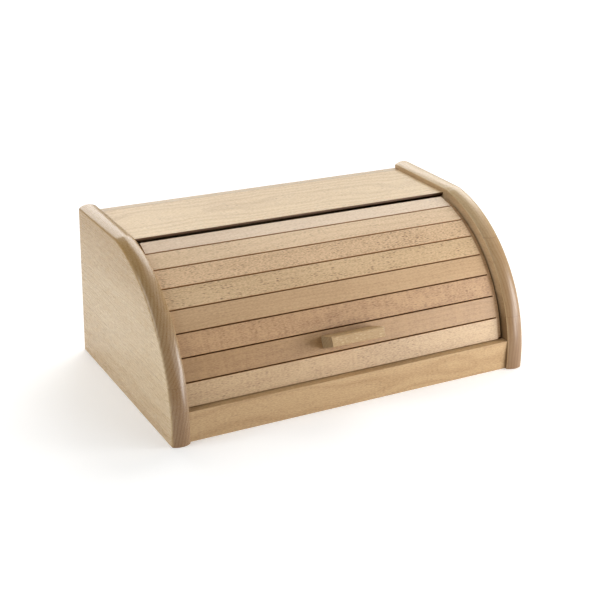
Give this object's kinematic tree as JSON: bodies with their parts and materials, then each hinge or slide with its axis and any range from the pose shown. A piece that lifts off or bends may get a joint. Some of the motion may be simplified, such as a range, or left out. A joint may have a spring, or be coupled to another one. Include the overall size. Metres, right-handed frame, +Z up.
{
  "type": "bread box with roll top",
  "caption": "Beech bread box with quarter-round side panels and a curved lid of flat wooden slats that swings up and back under a fixed top board.",
  "frame": {"origin": "middle of the case's footprint, on the surface it stands on", "axes": "+X to the right seen from the front, along the rail and the slats; +Y to the back panel, so that the lid's handle faces -Y; +Z up"},
  "size_m": [0.42, 0.25, 0.17],
  "materials": {
    "beech_case": "satin lacquer",
    "beech_lid": "satin lacquer",
    "beech_dowel": "raw",
    "screw_steel": "zinc plated"
  },
  "bodies": {
    "case": {"side_panel_left": "beech_case", "side_panel_right": "beech_case", "top_board": "beech_case", "back_panel": "beech_case", "bottom_board": "beech_case", "front_rail": "beech_case", "top_board_dowels": "beech_dowel", "back_panel_dowels": "beech_dowel", "rail_dowels": "beech_dowel", "pivot_screw_left": "screw_steel", "pivot_screw_right": "screw_steel"},
    "lid": {"lid_cheek_left": "beech_lid", "lid_cheek_right": "beech_lid", "slat_1": "beech_lid", "slat_2": "beech_lid", "slat_3": "beech_lid", "slat_4": "beech_lid", "slat_5": "beech_lid", "slat_6": "beech_lid", "slat_7": "beech_lid", "slat_8": "beech_lid", "handle": "beech_lid", "handle_screws": "screw_steel"}
  },
  "joints": [
    {"name": "lid_hinge", "type": "hinge", "parent": "case", "child": "lid", "pos_m": [0, -0.003, 0.047], "axis": [-1, 0, 0], "range_deg": [0, 84]}
  ]
}
